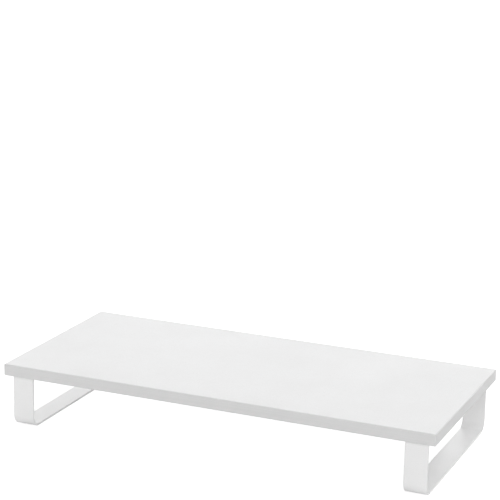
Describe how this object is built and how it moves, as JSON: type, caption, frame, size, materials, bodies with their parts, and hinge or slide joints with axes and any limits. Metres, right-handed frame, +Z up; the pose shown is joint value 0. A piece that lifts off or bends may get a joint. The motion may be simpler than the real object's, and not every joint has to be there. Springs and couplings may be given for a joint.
{
  "type": "monitor riser stand",
  "caption": "Low white desk shelf that raises a monitor: a laminated board on bent flat-bar steel loop legs, with room under it for a keyboard.",
  "frame": {"origin": "on the desk plane, under the middle of the board", "axes": "+X along the board's long side, -Y towards the user, +Z up"},
  "size_m": [0.59, 0.27, 0.0864],
  "materials": {
    "core": "raw particleboard",
    "laminate": "white melamine with a fine orange-peel texture",
    "edge_band": "white plastic edging with a fine grain",
    "leg_paint": "satin white powder coat on flat steel bar",
    "screw_zinc": "bright zinc plating",
    "insert_brass": "turned brass",
    "pad_rubber": "matt grey anti-slip rubber"
  },
  "bodies": {
    "root": {"board_core": "core", "top_laminate": "laminate", "bottom_laminate": "laminate", "front_edge_band": "edge_band", "back_edge_band": "edge_band", "left_edge_band": "edge_band", "right_edge_band": "edge_band", "left_leg": "leg_paint", "right_leg": "leg_paint", "left_front_pad": "pad_rubber", "left_back_pad": "pad_rubber", "right_front_pad": "pad_rubber", "right_back_pad": "pad_rubber", "left_front_outer_screw": "screw_zinc", "left_front_outer_insert": "insert_brass", "left_front_inner_screw": "screw_zinc", "left_front_inner_insert": "insert_brass", "left_back_outer_screw": "screw_zinc", "left_back_outer_insert": "insert_brass", "left_back_inner_screw": "screw_zinc", "left_back_inner_insert": "insert_brass", "right_front_outer_screw": "screw_zinc", "right_front_outer_insert": "insert_brass", "right_front_inner_screw": "screw_zinc", "right_front_inner_insert": "insert_brass", "right_back_outer_screw": "screw_zinc", "right_back_outer_insert": "insert_brass", "right_back_inner_screw": "screw_zinc", "right_back_inner_insert": "insert_brass"}
  },
  "joints": []
}
